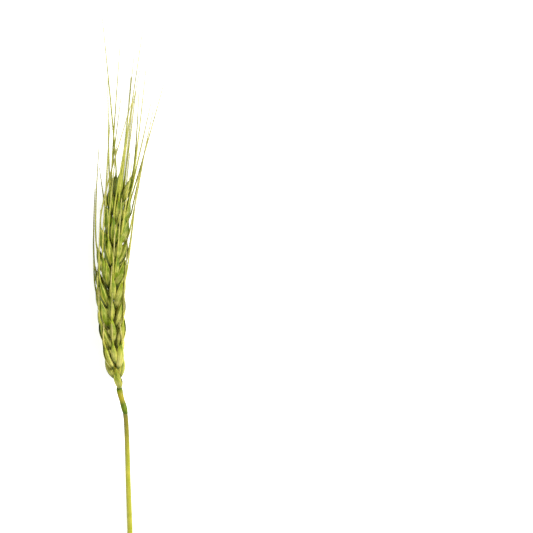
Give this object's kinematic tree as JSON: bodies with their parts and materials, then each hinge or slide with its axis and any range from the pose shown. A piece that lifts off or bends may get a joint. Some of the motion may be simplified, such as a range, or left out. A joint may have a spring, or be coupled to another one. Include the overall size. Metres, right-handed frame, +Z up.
{
  "type": "wheat ear",
  "caption": "Green bearded wheat ear with long awns and a cut length of stem, lying on a surface.",
  "frame": {"origin": "middle of the underside of the whole ear, on the surface that it lies on", "axes": "+Y along the ear from the cut end of the stem to the awn tips, +Z up from the surface, +X to the right"},
  "size_m": [0.0286, 0.2204, 0.0152],
  "materials": {
    "stem": "satin, smooth and finely ribbed green straw",
    "rachis": "matte green straw",
    "husk": "satin, veined green husk with pale keels and awns"
  },
  "bodies": {
    "root": {"stem": "stem", "rachis": "rachis", "basal_spikelet": "husk", "spikelet_01_left_floret": "husk", "spikelet_01_middle_floret": "husk", "spikelet_01_right_floret": "husk", "spikelet_02_left_floret": "husk", "spikelet_02_middle_floret": "husk", "spikelet_02_right_floret": "husk", "spikelet_03_left_floret": "husk", "spikelet_03_middle_floret": "husk", "spikelet_03_right_floret": "husk", "spikelet_04_left_floret": "husk", "spikelet_04_middle_floret": "husk", "spikelet_04_right_floret": "husk", "spikelet_05_left_floret": "husk", "spikelet_05_middle_floret": "husk", "spikelet_05_right_floret": "husk", "spikelet_06_left_floret": "husk", "spikelet_06_middle_floret": "husk", "spikelet_06_right_floret": "husk", "spikelet_07_left_floret": "husk", "spikelet_07_middle_floret": "husk", "spikelet_07_right_floret": "husk", "spikelet_08_left_floret": "husk", "spikelet_08_middle_floret": "husk", "spikelet_08_right_floret": "husk", "spikelet_09_left_floret": "husk", "spikelet_09_middle_floret": "husk", "spikelet_09_right_floret": "husk", "spikelet_10_left_floret": "husk", "spikelet_10_middle_floret": "husk", "spikelet_10_right_floret": "husk", "spikelet_11_left_floret": "husk", "spikelet_11_middle_floret": "husk", "spikelet_11_right_floret": "husk", "spikelet_12_left_floret": "husk", "spikelet_12_middle_floret": "husk", "spikelet_12_right_floret": "husk", "spikelet_13_left_floret": "husk", "spikelet_13_middle_floret": "husk", "spikelet_13_right_floret": "husk", "spikelet_14_left_floret": "husk", "spikelet_14_middle_floret": "husk", "spikelet_14_right_floret": "husk", "spikelet_15_left_floret": "husk", "spikelet_15_middle_floret": "husk", "spikelet_15_right_floret": "husk", "spikelet_16_left_floret": "husk", "spikelet_16_middle_floret": "husk", "spikelet_16_right_floret": "husk", "spikelet_17_left_floret": "husk", "spikelet_17_middle_floret": "husk", "spikelet_17_right_floret": "husk", "terminal_spikelet_left_floret": "husk", "terminal_spikelet_middle_floret": "husk", "terminal_spikelet_right_floret": "husk"}
  },
  "joints": []
}
